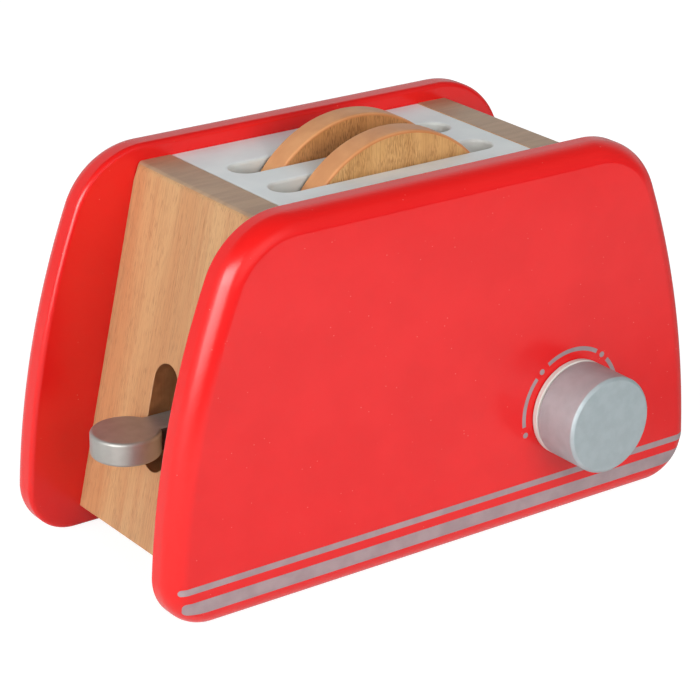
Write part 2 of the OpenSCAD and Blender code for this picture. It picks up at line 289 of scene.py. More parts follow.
@dataclass(frozen=True)
class RedPaint:
    """Satin red paint over fibreboard, with orange peel, a few dust nibs, and rounded edges a touch more
    orange: thin paint there, and painted shade of the round-overs.
    """

    colour: Colour = srgb(226, 26, 27)
    shade: Colour = srgb(221, 23, 24)
    thin_paint_and_shade_colour: Colour = srgb(230, 26, 22)
    edge_share: float = 0.6
    edge_span: Point2 = (0.0, 0.6)
    nib_colour: Colour = srgb(238, 120, 112)
    nib_share: float = 0.7
    nib_span: Point2 = (0.085, 0.034)
    nib_pitch: float = 2.6
    scatter: float = 11.0
    scatter_span: Point2 = (0.46, 0.6)
    cloud: float = 18.0
    peel: float = 1.1
    grit: float = 0.28
    relief: float = 0.028
    roughness: float = 0.155

    def build(self) -> bpy.types.Material:
        """Gives the material."""
        graph = Graph("red_paint")
        peel = graph.noise(self.peel, 2.0)
        grit = graph.noise(self.grit, 3.0, 0.65)
        nibs = graph.cells(self.nib_pitch).above(*self.nib_span)
        nibs = nibs * graph.noise(self.scatter, 1.0).above(*self.scatter_span)
        edge = graph.wall_mark().above(*self.edge_span)
        colour = graph.clouds(self.cloud, self.shade, self.colour)
        # Rounded edges a touch more orange: thin paint, and painted shade of the round-overs.
        colour = graph.mix(edge * self.edge_share, colour, self.thin_paint_and_shade_colour)
        colour = graph.mix(nibs * self.nib_share, colour, self.nib_colour)
        height = peel * 0.55 + grit * 0.35 + nibs * 1.2
        return graph.surface(colour, self.roughness + grit * 0.14, height, self.relief, IOR=1.5)


@dataclass(frozen=True)
class WhitePaint:
    """Matt white paint through which the wood's pores show faintly, greyer on its walls, such as the slots'
    insides, as painted shade.
    """

    name: str = "white_paint"
    colour: Colour = srgb(240, 246, 246)
    shade: Colour = srgb(232, 238, 239)
    rim_shade_colour: Colour = srgb(196, 198, 192)
    rim_shade_share: float = 0.7
    rim_shade_span: Point2 = (0.05, 0.9)
    cloud: float = 14.0
    cloud_span: Point2 = (0.35, 0.7)
    pore: Point3 = (2.5, 0.5, 0.5)
    grit: float = 0.35
    relief: float = 0.03
    roughness: float = 0.42

    def build(self) -> bpy.types.Material:
        """Gives the material."""
        graph = Graph(self.name)
        pores = graph.noise(self.pore)
        grit = graph.noise(self.grit, rough=0.6)
        # Greyer walls: painted shade inside the slots and round the disc's rim.
        edge = graph.wall_mark().above(*self.rim_shade_span)
        colour = graph.clouds(self.cloud, self.shade, self.colour, self.cloud_span)
        colour = graph.mix(edge * self.rim_shade_share, colour, self.rim_shade_colour)
        height = pores * 0.6 + grit * 0.4
        return graph.surface(colour, self.roughness + grit * 0.14, height, self.relief, IOR=1.48)


@dataclass(frozen=True)
class Beech:
    """Varnished beech: pale bands and short dark flecks along the grain."""

    name: str = "beech"
    pale: Colour = srgb(203, 161, 114)
    warm: Colour = srgb(194, 144, 99)
    fleck: Colour = srgb(132, 86, 50)
    fleck_share: float = 0.46
    fleck_w: float = 0.24
    fleck_len: float = 3.4
    fleck_from: float = 0.54
    lean: float = 0.0
    roughness: float = 0.36
    relief: float = 0.03
    fleck_fade: float = 0.14
    band: Point3 = (7.0, 7.0, 120.0)
    band_span: Point2 = (0.34, 0.66)
    line: Point3 = (0.42, 0.42, 34.0)
    line_span: Point2 = (0.42, 0.78)
    line_share: float = 0.3
    patch: Point3 = (6.0, 6.0, 12.0)
    patch_span: Point2 = (0.2, 0.55)

    def build(self) -> bpy.types.Material:
        """Gives the material."""
        graph = Graph(self.name)
        bands = graph.noise(self.band, 3.0, 0.55, 0.4, tilt=-self.lean)
        lines = graph.noise(self.line, 3.0, 0.6, tilt=-self.lean)
        streaks = graph.noise((self.fleck_w, self.fleck_w, self.fleck_len), 1.0, tilt=-self.lean)
        patches = graph.noise(self.patch, 1.0, tilt=-self.lean)
        flecks = streaks.above(self.fleck_from, self.fleck_from + self.fleck_fade)
        flecks = flecks * patches.above(*self.patch_span)
        colour = graph.mix(bands.above(*self.band_span), self.pale, self.warm)
        colour = graph.mix(lines.above(*self.line_span) * self.line_share, colour, self.fleck)
        colour = graph.mix(flecks * self.fleck_share, colour, self.fleck)
        height = lines * 0.4 - flecks * 0.6
        return graph.surface(colour, self.roughness + lines * 0.12, height, self.relief, IOR=1.48)


@dataclass(frozen=True)
class MilledAndShadedBeech:
    """Bare beech of a milled slot, darker and redder than the faces, with short lines along the grain:
    partly the bare wood's own colour, partly painted shade of the slot's inside.
    """

    name: str = "milled_beech_shaded"
    colour: Colour = srgb(188, 130, 76)
    scorch_and_shade: Colour = srgb(152, 100, 54)
    cloud: float = 6.0
    cloud_span: Point2 = (0.3, 0.7)
    line: Point3 = (0.4, 0.4, 9.0)
    line_span: Point2 = (0.4, 0.75)
    line_share: float = 0.4
    relief: float = 0.05
    roughness: float = 0.62

    def build(self) -> bpy.types.Material:
        """Gives the material."""
        graph = Graph(self.name)
        lines = graph.noise(self.line, 3.0, 0.6)
        clouds = graph.noise(self.cloud).above(*self.cloud_span)
        colour = graph.mix(clouds, self.colour, self.scorch_and_shade)
        colour = graph.mix(lines.above(*self.line_span) * self.line_share, colour, self.scorch_and_shade)
        return graph.surface(colour, self.roughness + lines * 0.2, lines, self.relief, IOR=1.45)


@dataclass(frozen=True)
class EndGrain:
    """Varnished end grain: darker, with growth rings across the board and fine pores."""

    dark: Colour = srgb(172, 141, 113)
    light: Colour = srgb(184, 152, 122)
    pore_colour: Colour = srgb(118, 88, 62)
    ring: Point3 = (16.0, 2.6, 16.0)
    ring_span: Point2 = (0.35, 0.66)
    ray: Point3 = (2.6, 0.3, 2.6)
    ray_span: Point2 = (0.5, 0.72)
    ray_share: float = 0.1
    pore: float = 0.42
    pore_span: Point2 = (0.34, 0.16)
    pore_share: float = 0.2
    relief: float = 0.025
    roughness: float = 0.3

    def build(self) -> bpy.types.Material:
        """Gives the material."""
        graph = Graph("beech_end_grain")
        rings = graph.noise(self.ring, warp=0.5)
        rays = graph.noise(self.ray)
        pores = graph.cells(self.pore).above(*self.pore_span)
        colour = graph.mix(rings.above(*self.ring_span), self.dark, self.light)
        colour = graph.mix(rays.above(*self.ray_span) * self.ray_share, colour, self.light)
        colour = graph.mix(pores * self.pore_share, colour, self.pore_colour)
        height = rays * 0.6 - pores * 0.6
        return graph.surface(colour, self.roughness + rays * 0.15, height, self.relief, IOR=1.5)


@dataclass(frozen=True)
class SilverPaint:
    """Silver lacquer with fine metal flakes over turned or sawn wood."""

    name: str = "silver_paint"
    colour: Colour = srgb(168, 181, 184)
    shade: Colour = srgb(158, 171, 174)
    pit_colour: Colour = srgb(112, 108, 106)
    pit_pitch: float = 9.0
    pit_span: Point2 = (0.04, 0.025)
    pit_share: float = 0.8
    cloud: float = 4.0
    flake: float = 0.22
    sparkle_span: Point2 = (0.35, 0.75)
    sparkle_share: float = 0.5
    relief: float = 0.03
    metallic: float = 0.3
    roughness: float = 0.48

    def build(self) -> bpy.types.Material:
        """Gives the material."""
        graph = Graph(self.name)
        flakes = graph.cells(self.flake)
        sparkle = graph.noise(self.flake, rough=0.7)
        pits = graph.cells(self.pit_pitch).above(*self.pit_span) * self.pit_share
        colour = graph.clouds(self.cloud, self.shade, self.colour)
        bright = sparkle.above(*self.sparkle_span) * self.sparkle_share
        colour = graph.mix(bright, colour, self.colour)
        colour = graph.mix(pits, colour, self.pit_colour)
        height = sparkle * 0.5 + flakes * 0.2 - pits
        rough = self.roughness + sparkle * 0.16
        return graph.surface(colour, rough, height, self.relief, Metallic=self.metallic)


@dataclass(frozen=True)
class SilverPrint:
    """Flat silver ink printed on the red paint."""

    colour: Colour = srgb(172, 155, 158)
    shade: Colour = srgb(160, 143, 146)
    cloud: float = 5.0
    grain: float = 0.3
    grain_span: Point2 = (0.5, 0.8)
    grain_share: float = 0.4
    relief: float = 0.012
    metallic: float = 0.25
    roughness: float = 0.42

    def build(self) -> bpy.types.Material:
        """Gives the material."""
        graph = Graph("silver_print")
        grain = graph.noise(self.grain, rough=0.7)
        colour = graph.clouds(self.cloud, self.shade, self.colour)
        colour = graph.mix(grain.above(*self.grain_span) * self.grain_share, colour, self.shade)
        rough = self.roughness + grain * 0.14
        return graph.surface(colour, rough, grain, self.relief, Metallic=self.metallic)


@dataclass(frozen=True)
class Crust:
    """Tan paint on a slice's rim, which ends in a darker line at the face."""

    colour: Colour = srgb(218, 156, 104)
    shade: Colour = srgb(206, 142, 92)
    line: Colour = srgb(186, 112, 58)
    line_share: float = 0.6
    line_span: Point2 = (0.75, 0.25)
    cloud: float = 9.0
    cloud_span: Point2 = (0.35, 0.7)
    grain: Point3 = (0.5, 4.0, 0.5)
    relief: float = 0.025
    roughness: float = 0.38

    def build(self) -> bpy.types.Material:
        """Gives the material."""
        graph = Graph("crust_paint")
        grain = graph.noise(self.grain)
        edge = graph.wall_mark().above(*self.line_span)
        colour = graph.clouds(self.cloud, self.shade, self.colour, self.cloud_span)
        colour = graph.mix(edge * self.line_share, colour, self.line)
        return graph.surface(colour, self.roughness + grain * 0.12, grain, self.relief, IOR=1.48)


@dataclass(frozen=True)
class SpringSteel:
    """Drawn steel wire with faint lines."""

    colour: Colour = srgb(178, 180, 184)
    shade: Colour = srgb(136, 138, 142)
    cloud: float = 2.5
    cloud_span: Point2 = (0.4, 0.7)
    dull_share: float = 0.5
    line: float = 0.3
    relief: float = 0.01
    roughness: float = 0.24

    def build(self) -> bpy.types.Material:
        """Gives the material."""
        graph = Graph("spring_steel")
        lines = graph.noise(self.line, rough=0.6)
        dull = graph.noise(self.cloud).above(*self.cloud_span) * self.dull_share
        colour = graph.mix(dull, self.colour, self.shade)
        return graph.surface(colour, self.roughness + lines * 0.18, lines, self.relief, Metallic=1.0)


# ---- outlines and slabs


def arc(centre: Point2, radius: float, start: float, stop: float, steps: int) -> list[Point2]:
    """Gives points of an arc.

    Args:
        centre: Its centre.
        radius: Its radius.
        start: First angle in degrees.
        stop: Last angle in degrees.
        steps: How many steps it takes.

    Returns:
        The points, both ends included.
    """
    angles = (math.radians(start + (stop - start) * i / steps) for i in range(steps + 1))
    return [(centre[0] + radius * math.cos(a), centre[1] + radius * math.sin(a)) for a in angles]


def circle(centre: Point2, radius: float, steps: int = 96) -> list[Point2]:
    """Gives the points of a circle, anticlockwise."""
    return arc(centre, radius, 0.0, 360.0, steps)[:-1]


def stadium(centre: Point2, length: float, width: float, steps: int = 24) -> list[Point2]:
    """Gives a round-ended slot that lies along the first axis, anticlockwise."""
    reach, radius = (length - width) / 2, width / 2
    right = arc((centre[0] + reach, centre[1]), radius, -90.0, 90.0, steps)
    left = arc((centre[0] - reach, centre[1]), radius, 90.0, 270.0, steps)
    return right + left


def soft_rectangle(low: Point2, high: Point2, radius: float, steps: int = 8) -> list[Point2]:
    """Gives a rectangle with round corners, anticlockwise."""
    corners = [
        ((high[0] - radius, low[1] + radius), -90.0),
        ((high[0] - radius, high[1] - radius), 0.0),
        ((low[0] + radius, high[1] - radius), 90.0),
        ((low[0] + radius, low[1] + radius), 180.0),
    ]
    return [p for centre, start in corners for p in arc(centre, radius, start, start + 90.0, steps)]


def drawn_in(points: Sequence[Point2], insets: Sequence[float]) -> list[Point2]:
    """Moves an anticlockwise outline inwards, each point by its own inset, with mitred corners."""
    moved = []
    count = len(points)
    for i, (x, y) in enumerate(points):
        normals = []
        for start, stop in ((points[i - 1], (x, y)), ((x, y), points[(i + 1) % count])):
            dx, dy = stop[0] - start[0], stop[1] - start[1]
            length = math.hypot(dx, dy)
            normals.append((dy / length, -dx / length))
        (ax, ay), (bx, by) = normals
        share = insets[i] / (1 + ax * bx + ay * by)
        moved.append((x - (ax + bx) * share, y - (ay + by) * share))
    return moved


def round_over(radius: float, steps: int = 8) -> list[Point2]:
    """Gives (inset, depth) pairs of a quarter round, from the face to the side."""
    angles = (math.pi / 2 * i / steps for i in range(steps + 1))
    return [(radius * (1 - math.sin(a)), radius * (1 - math.cos(a))) for a in angles]


def through(depth: float, front: float, back: float, steps: int = 8) -> list[Point2]:
    """Gives the (inset, depth) pairs of a wall with rounded edges on both faces."""
    far = [(inset, depth - down) for inset, down in reversed(round_over(back, steps))]
    return round_over(front, steps) + far


@dataclass
class Edge:
    """One closed edge of a slab: its outline and the profile of its wall.

    The outline runs anticlockwise, for a hole too. The profile holds (inset, depth) pairs from the
    front face down, and an inset takes material away. A blind edge ends in a floor of its own.
    Scales, where given, multiply the insets and depths of the first half of the profile per point.
    """

    points: Sequence[Point2]
    profile: Sequence[Point2]
    hole: bool = False
    blind: bool = False
    lean: Callable[[Point2, float], Point2] | None = None
    front_scales: Sequence[float] | None = None

    def rings(self) -> list[list[tuple[float, float, float]]]:
        """Gives the rings of points (a, b, depth) along the profile."""
        rings = []
        half = len(self.profile) / 2
        for number, (inset, depth) in enumerate(self.profile):
            scales = [1.0] * len(self.points)
            if self.front_scales and number < half:
                scales = list(self.front_scales)
            sign = -1.0 if self.hole else 1.0
            flat = drawn_in(self.points, [sign * inset * scale for scale in scales])
            ring = []
            for point, scale in zip(flat, scales):
                down = depth * scale
                a, b = self.lean(point, down) if self.lean else point
                ring.append((a, b, down))
            rings.append(ring)
        return rings


def slab(name: str, edges: Sequence[Edge], to_space: Matrix) -> bpy.types.Object:
    """Makes a closed slab with soft edges, holes and pockets.

    The mesh attribute "edge" is 0 on the faces and rises to 1 on the walls.

    Args:
        name: The piece's name.
        edges: Its outline first, then its holes and pockets.
        to_space: Turns (a, b, depth) in millimetres into the part's frame in millimetres.

    Returns:
        The piece, in metres, with its place in its mesh.
    """
    mesh_maker = bmesh.new()
    wall_mark = mesh_maker.verts.layers.float.new("edge")
    front, back = [], []
    for edge in edges:
        rings = []
        deepest = max(inset for inset, _ in edge.profile) or 1.0
        for (inset, _), ring in zip(edge.profile, edge.rings()):
            verts = [mesh_maker.verts.new(to_space @ Vector(point)) for point in ring]
            for vert in verts:
                vert[wall_mark] = 1.0 - inset / deepest
            rings.append(verts)
        for upper, lower in zip(rings, rings[1:]):
            for i in range(len(upper)):
                mesh_maker.faces.new((upper[i - 1], upper[i], lower[i], lower[i - 1]))
        front.append(rings[0])
        if edge.blind:
            mesh_maker.faces.new(rings[-1])
        else:
            back.append(rings[-1])
    for loops in (front, back):
        lines = []
        for loop in loops:
            for i in range(len(loop)):
                found = mesh_maker.edges.get((loop[i - 1], loop[i]))
                lines.append(found or mesh_maker.edges.new((loop[i - 1], loop[i])))
        bmesh.ops.triangle_fill(mesh_maker, edges=lines, use_beauty=True, use_dissolve=False)
    bmesh.ops.recalc_face_normals(mesh_maker, faces=mesh_maker.faces)
    return solid(name, mesh_maker)


def solid(name: str, mesh_maker: bmesh.types.BMesh) -> bpy.types.Object:
    """Turns a mesh in millimetres into a smooth piece in metres, with creases at sharp edges."""
    bmesh.ops.scale(mesh_maker, vec=(MM, MM, MM), verts=mesh_maker.verts)
    mesh = bpy.data.meshes.new(name)
    mesh_maker.to_mesh(mesh)
    mesh_maker.free()
    mesh.shade_smooth()
    mesh.set_sharp_from_angle(angle=CREASE)
    piece = bpy.data.objects.new(name, mesh)
    bpy.context.scene.collection.objects.link(piece)
    weights = piece.modifiers.new("even_normals", "WEIGHTED_NORMAL")
    weights.keep_sharp = True
    weights.weight = FLAT_FACE_WEIGHT
    return applied(piece)


def applied(piece: bpy.types.Object) -> bpy.types.Object:
    """Replaces a piece's mesh by its evaluated mesh and removes its modifiers."""
    bpy.context.view_layer.update()
    evaluated = piece.evaluated_get(bpy.context.evaluated_depsgraph_get())
    mesh = bpy.data.meshes.new_from_object(evaluated)
    piece.modifiers.clear()
    piece.data = mesh
    return piece


def dress(piece: bpy.types.Object, body: Body, slot: Slot, *materials: bpy.types.Material) -> None:
    """Gives a piece its materials and its body, and reports it.

    Args:
        piece: The piece.
        body: The body on which it rides.
        slot: The record's slot from which it takes its finish; not used.
        materials: Its materials, in the order of its faces' numbers.
    """
    for material in materials:
        piece.data.materials.append(material)
    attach(piece, body.value)
    LOG.info("%s: %d faces on %s", piece.name, len(piece.data.polygons), body.value)


def box_of(node: str) -> tuple[Vector, Vector]:
    """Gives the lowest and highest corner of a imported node, in millimetres."""
    low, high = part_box(node)
    return low / MM, high / MM


def repaint(node: str, material: bpy.types.Material) -> None:
    """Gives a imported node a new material."""
    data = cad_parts[node].data
    data.materials.clear()
    data.materials.append(material)
    LOG.info("%s: packed node, new finish", node)


def upright(y: float, inwards: float) -> Matrix:
    """Maps (a, b, depth) to X, Z and Y: a slab that stands across Y, its front face at y."""
    return Matrix(((1, 0, 0, 0), (0, 0, inwards, y), (0, 1, 0, 0), (0, 0, 0, 1)))


def flat(top: float) -> Matrix:
    """Maps (a, b, depth) to X, Y and Z: a slab that lies flat, its front face up at height top."""
    return Matrix(((1, 0, 0, 0), (0, 1, 0, 0), (0, 0, -1, top), (0, 0, 0, 1)))


def facing(piece: bpy.types.Object, direction: Vector, share: float) -> list[bpy.types.MeshPolygon]:
    """Gives the faces whose normals have more than a share of a direction."""
    return [face for face in piece.data.polygons if face.normal.dot(direction) > share]


# ---- geometry node groups


class GeometryGroup(Tree):
    """Builds one geometry node group with named sizes in millimetres."""

    def __init__(self, name: str, sizes: Mapping[str, float]) -> None:
        """Starts the group.

        Args:
            name: Its name.
            sizes: Its inputs and their values.
        """
        self.tree = bpy.data.node_groups.new(name, "GeometryNodeTree")
        self.tree["sizes"] = dict(sizes)
        ends = self.tree.interface
        for size in sizes:
            ends.new_socket(name=size, in_out="INPUT", socket_type="NodeSocketFloat")
        ends.new_socket(name="Geometry", in_out="OUTPUT", socket_type="NodeSocketGeometry")
        self.inputs = self.tree.nodes.new("NodeGroupInput")

    def size(self, name: str) -> Val:
        """Gives a named size."""
        return Val(self, self.inputs.outputs[name])

    def swept(self, path: Val, profile: Val) -> Val:
        """Gives the closed body that a profile makes along a path."""
        links = {"Curve": path, "Profile Curve": profile, "Fill Caps": True}
        return self.node("GeometryNodeCurveToMesh", None, links)

    def finish(self, parts: Iterable[Val], material: bpy.types.Material) -> bpy.types.NodeTree:
        """Joins the parts, makes their instances real, gives them the material and ends the tree."""
        join = self.tree.nodes.new("GeometryNodeJoinGeometry")
        for part in parts:
            self.tree.links.new(part.socket, join.inputs[0])
        real = self.node("GeometryNodeRealizeInstances", None, {0: Val(self, join.outputs[0])})
        made = self.node("GeometryNodeSetMaterial", None, {0: real, "Material": material})
        self.end(made, "NodeGroupOutput")
        return self.tree


def grown(name: str, tree: bpy.types.NodeTree) -> bpy.types.Object:
    """Runs a geometry node group and gives its result as a plain piece in metres."""
    piece = bpy.data.objects.new(name, bpy.data.meshes.new(name))
    bpy.context.scene.collection.objects.link(piece)
    modifier = piece.modifiers.new(tree.name, "NODES")
    modifier.node_group = tree
    for item in tree.interface.items_tree:
        if item.in_out == "INPUT":
            modifier[item.identifier] = float(tree["sizes"][item.name])
    applied(piece)
    mesh_maker = bmesh.new()
    mesh_maker.from_mesh(piece.data)
    bmesh.ops.remove_doubles(mesh_maker, verts=mesh_maker.verts, dist=WELD)
    bmesh.ops.recalc_face_normals(mesh_maker, faces=mesh_maker.faces)
    bpy.data.objects.remove(piece)
    return solid(name, mesh_maker)


# ---- side panels and print


@dataclass
class PanelShape:
    """The outline that both side panels share: straight foot and top, bowed ends, round corners."""

    base_len: float = 190.0
    top_len: float = 139.0
    height: float = 113.8
    side_bulge: float = 6.6
    foot_r: float = 14.7
    shoulder_r: float = 25.2
    edge_r: float = 6.4
    inner_edge_r: float = 1.5
    ridge: float = math.radians(10.0)
    ridge_w: float = 0.3

    def __post_init__(self) -> None:
        """Works out the bowed side's arc and the corners' centres."""
        lean = (self.base_len - self.top_len) / 2
        chord = math.hypot(lean, self.height)
        self.side_r = (chord**2 / 4 + self.side_bulge**2) / (2 * self.side_bulge)
        back = self.side_r - self.side_bulge
        self.side_c = (
            (self.base_len + self.top_len) / 4 - back * self.height / chord,
            self.height / 2 - back * lean / chord,
        )
        self.foot_c = self.corner(self.foot_r, self.foot_r)
        self.shoulder_c = self.corner(self.shoulder_r, self.height - self.shoulder_r)
        self.foot_angle = self.angle(self.foot_c)
        self.shoulder_angle = self.angle(self.shoulder_c)

    def corner(self, radius: float, z: float) -> Point2:
        """Gives the centre of the corner of that radius at height z, inside the bowed side."""
        run = math.sqrt((self.side_r - radius) ** 2 - (z - self.side_c[1]) ** 2)
        return (self.side_c[0] + run, z)

    def angle(self, point: Point2) -> float:
        """Gives the angle in degrees at which a point is seen from the bowed side's centre."""
        return math.degrees(math.atan2(point[1] - self.side_c[1], point[0] - self.side_c[0]))

    def outline(self) -> list[Point2]:
        """Gives the outline as (x, z) points, anticlockwise."""
        right = arc(self.foot_c, self.foot_r, -90.0, self.foot_angle, 28)
        right += arc(self.side_c, self.side_r, self.foot_angle, self.shoulder_angle, 40)[1:-1]
        right += arc(self.shoulder_c, self.shoulder_r, self.shoulder_angle, 90.0, 32)
        return right + [(-x, z) for x, z in reversed(right)]

    def depth(self, x: float, z: float) -> tuple[float, Vector]:
        """Gives how far the outer face lies back at a point, and its normal.

        Args:
            x: Distance from the middle.
            z: Height.

        Returns:
            The distance behind the flat face, and the normal as (outwards along X, along Z, forwards).
        """
        side = 1.0 if x >= 0 else -1.0
        point = Vector((abs(x), z))
        foot = Vector(self.foot_c)
        off = point - foot
        if off.y < 0 < off.x:
            inset, out = self.foot_r - off.length, off.normalized()
        elif z < self.height / 4 and z < self.side_r - (point - Vector(self.side_c)).length:
            inset, out = z, Vector((0.0, -1.0))
        else:
            away = point - Vector(self.side_c)
            inset, out = self.side_r - away.length, away.normalized()
        if inset >= self.edge_r:
            return 0.0, Vector((0.0, 0.0, 1.0))
        across = min(1.0, (self.edge_r - max(inset, 0.0)) / self.edge_r)
        rise = math.sqrt(1 - across**2)
        back = max(0.0, self.edge_r * (math.cos(self.ridge) - rise))
        return back, Vector((side * out.x * across, out.y * across, rise))

    def wall(self, thickness: float, steps: int = 14) -> list[Point2]:
        """Gives the (inset, depth) pairs of the panel's edge, whose outer round starts at a soft ridge."""
        angles = [self.ridge + (math.pi / 2 - self.ridge) * i / steps for i in range(steps + 1)]
        outer = [
            (self.edge_r * (1 - math.sin(a)), self.edge_r * (math.cos(self.ridge) - math.cos(a)))
            for a in angles
        ]
        inner = through(thickness, 0.0, self.inner_edge_r)[len(round_over(0.0)):]
        return [(outer[0][0] + self.ridge_w, 0.0)] + outer + inner

    def end_x(self, z: float) -> float:
        """Gives the outline's distance from the middle at height z, in its lower half."""
        if z < self.foot_c[1]:
            return self.foot_c[0] + math.sqrt(self.foot_r**2 - (z - self.foot_c[1]) ** 2)
        return self.side_c[0] + math.sqrt(self.side_r**2 - (z - self.side_c[1]) ** 2)


@dataclass
class SidePanels:
    """The two painted side panels."""

    shape: PanelShape
    paint: bpy.types.Material

    def build(self) -> None:
        """Makes and dresses both panels in the place of their nodes."""
        for node, inwards in (("front_panel", 1.0), ("back_panel", -1.0)):
            low, high = box_of(node)
            outer = low.y if inwards > 0 else high.y
            edges = [Edge(self.shape.outline(), self.shape.wall(high.y - low.y))]
            panel = slab(f"{node}_painted", edges, upright(outer, inwards))
            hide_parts(node)
            dress(panel, Body.HOUSING, Slot.PANEL, self.paint)


@dataclass
class Stripe:
    """A printed stripe: its lower and upper edge and the shape of its left end."""

    name: str
    low: float
    high: float
    start: Callable[[float], float]


@dataclass
class PanelPrint:
    """The silver print on the front panel: two stripes, and arcs and dots round the knob."""

    shape: PanelShape
    ink: bpy.types.Material
    film: float = 0.05
    sunk: float = 0.12
    thin_low: float = 12.39
    thin_high: float = 14.32
    thick_low: float = 5.69
    thick_high: float = 9.65
    thin_start: float = -91.9
    thick_start: float = -90.7
    thick_slant: float = 0.7
    thick_corner: float = 1.4
    columns: int = 90
    rows: int = 14
    ring_r: float = 17.8
    band_w: float = 1.3
    dot_r: float = 0.9
    dot_angles: tuple[float, ...] = (-162.7, 130.6, 50.4, -17.0)
    arc_spans: tuple[Point2, ...] = ((138.8, 188.5), (58.6, 121.1), (-8.3, 41.9))
    arc_points: int = 40
    dot_points: int = 28

    def thin_end(self, share: float) -> float:
        """Gives where the thin stripe starts, at a share of its width: a half round."""
        radius = (self.thin_high - self.thin_low) / 2
        return self.thin_start + radius * (1 - math.sqrt(max(0.0, 1 - (2 * share - 1) ** 2)))

    def thick_end(self, share: float) -> float:
        """Gives where the thick stripe starts: a slanted end with round corners."""
        width = self.thick_high - self.thick_low
        from_corner = min(share, 1 - share) * width
        drop = max(0.0, 1 - from_corner / self.thick_corner)
        corner = self.thick_corner * (1 - math.sqrt(1 - drop**2))
        return self.thick_start + self.thick_slant * (1 - share) + corner

    def stripe(self, stripe: Stripe, face: float) -> bpy.types.Object:
        """Makes a stripe that follows the panel's front face and its rounded edges.

        Args:
            stripe: The stripe.
            face: Place of the panel's flat face along Y.

        Returns:
            The piece.
        """
        mesh_maker = bmesh.new()
        layers = []
        for out in (self.film, -self.sunk):
            grid = []
            for row in range(self.rows + 1):
                share = (1 - math.cos(math.pi * row / self.rows)) / 2
                z = stripe.low + (stripe.high - stripe.low) * share
                start, stop = stripe.start(share), self.shape.end_x(z)
                line = []
                for column in range(self.columns + 1):
                    run = (1 - math.cos(math.pi * column / self.columns)) / 2
                    x = start + (stop - start) * run
                    back, normal = self.shape.depth(x, z)
                    place = Vector((x, face + back, z))
                    place += Vector((normal.x, -normal.z, normal.y)) * out
                    line.append(mesh_maker.verts.new(place))
                grid.append(line)
            layers.append(grid)
        upper, lower = layers
        for grid in layers:
            for low_line, high_line in zip(grid, grid[1:]):
                for i in range(self.columns):
                    mesh_maker.faces.new((low_line[i], low_line[i + 1], high_line[i + 1], high_line[i]))
        rim = [(0, i) for i in range(self.columns)]
        rim += [(j, self.columns) for j in range(self.rows)]
        rim += [(self.rows, i) for i in range(self.columns, 0, -1)]
        rim += [(j, 0) for j in range(self.rows, 0, -1)]
        for (row, column), (next_row, next_column) in zip(rim, rim[1:] + rim[:1]):
            mesh_maker.faces.new(
                (upper[row][column], upper[next_row][next_column],
                 lower[next_row][next_column], lower[row][column])
            )
        bmesh.ops.recalc_face_normals(mesh_maker, faces=mesh_maker.faces)
        return solid(stripe.name, mesh_maker)

    def dial_tree(self) -> bpy.types.NodeTree:
        """Builds the node group that makes the arcs and dots round the knob."""
        group = GeometryGroup(
            "dial_marks",
            {"Ring Radius": self.ring_r, "Band Width": self.band_w, "Dot Radius": self.dot_r,
             "Film": self.film + self.sunk},
        )
        ring, film = group.size("Ring Radius"), group.size("Film")
        profile = group.node(
            "GeometryNodeCurvePrimitiveQuadrilateral",
            {"mode": "RECTANGLE"},
            {"Width": group.size("Band Width"), "Height": film},
        )
        parts = []
        for start, stop in self.arc_spans:
            path = group.node(
                "GeometryNodeCurveArc",
                {"mode": "RADIUS"},
                {
                    "Resolution": self.arc_points,
                    "Radius": ring,
                    "Start Angle": math.radians(start),
                    "Sweep Angle": math.radians(stop - start),
                },
            )
            parts.append(group.swept(path, profile))
        for angle in map(math.radians, self.dot_angles):
            dot = group.node(
                "GeometryNodeMeshCylinder",
                {"fill_type": "NGON"},
                {"Vertices": self.dot_points, "Radius": group.size("Dot Radius"), "Depth": film},
            )
            place = {"X": ring * math.cos(angle), "Y": ring * math.sin(angle)}
            run = group.node("ShaderNodeCombineXYZ", None, place)
            parts.append(
                group.node("GeometryNodeTransform", None, {"Geometry": dot, "Translation": run})
            )
        return group.finish(parts, self.ink)

    def build(self) -> None:
        """Makes and dresses the stripes and the dial marks."""
        face = box_of("front_panel")[0].y
        stripes = [
            Stripe("stripe_thin", self.thin_low, self.thin_high, self.thin_end),
            Stripe("stripe_thick", self.thick_low, self.thick_high, self.thick_end),
        ]
        for stripe in stripes:
            dress(self.stripe(stripe, face), Body.HOUSING, Slot.SILVER, self.ink)
        marks = grown("dial_marks", self.dial_tree())
        knob_low, knob_high = box_of("knob_disc")
        middle = (knob_low + knob_high) / 2
        middle.y = face - (self.film - self.sunk) / 2
        turn = Matrix.Rotation(math.radians(90), 4, "X")
        marks.data.transform(Matrix.Translation(middle * MM) @ turn)
        dress(marks, Body.HOUSING, Slot.SILVER, self.ink)


# ---- wooden body


